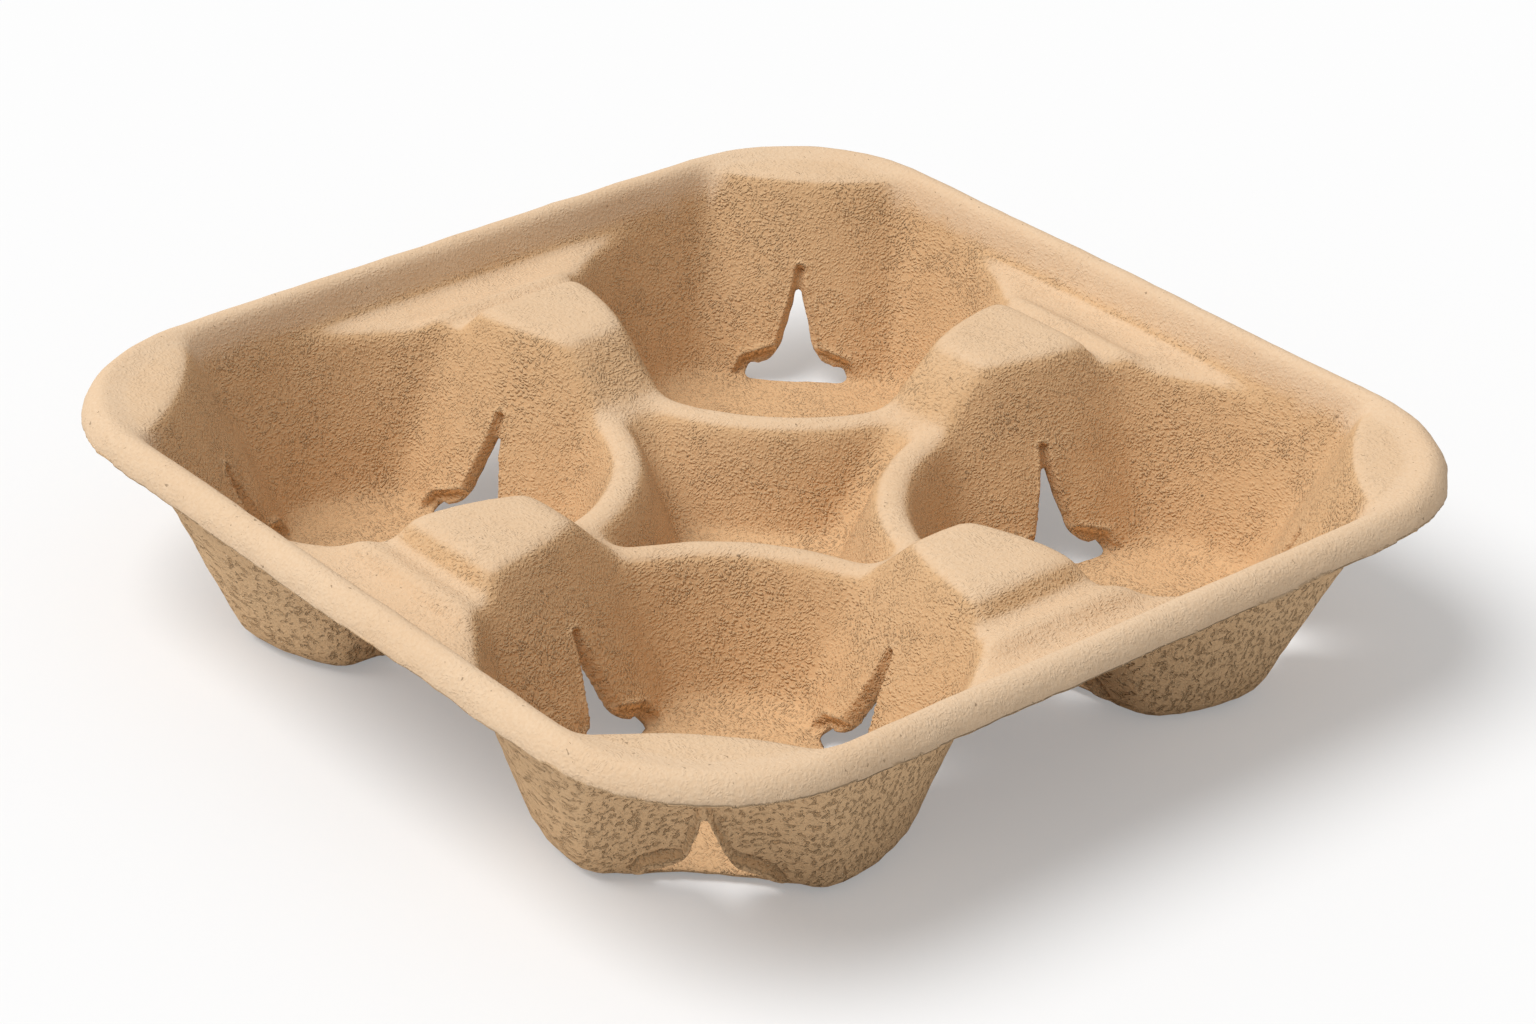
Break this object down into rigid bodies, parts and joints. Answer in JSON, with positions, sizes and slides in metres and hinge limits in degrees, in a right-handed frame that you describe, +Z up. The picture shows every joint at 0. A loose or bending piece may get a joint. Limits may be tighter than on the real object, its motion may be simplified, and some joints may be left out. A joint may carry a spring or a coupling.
{
  "type": "cup carrier tray",
  "caption": "Square moulded pulp tray with cup pockets at its corners, pillars between them, slit finger walls and a star-shaped middle well.",
  "frame": {"origin": "middle of the tray on the plane its feet stand on", "axes": "+Z up out of the pockets; X and Y along the straight sides"},
  "size_m": [0.216, 0.216, 0.0453],
  "materials": {
    "pulp": "matt, fibrous moulded pulp"
  },
  "bodies": {
    "root": {"carrier_tray": "pulp"}
  },
  "joints": []
}
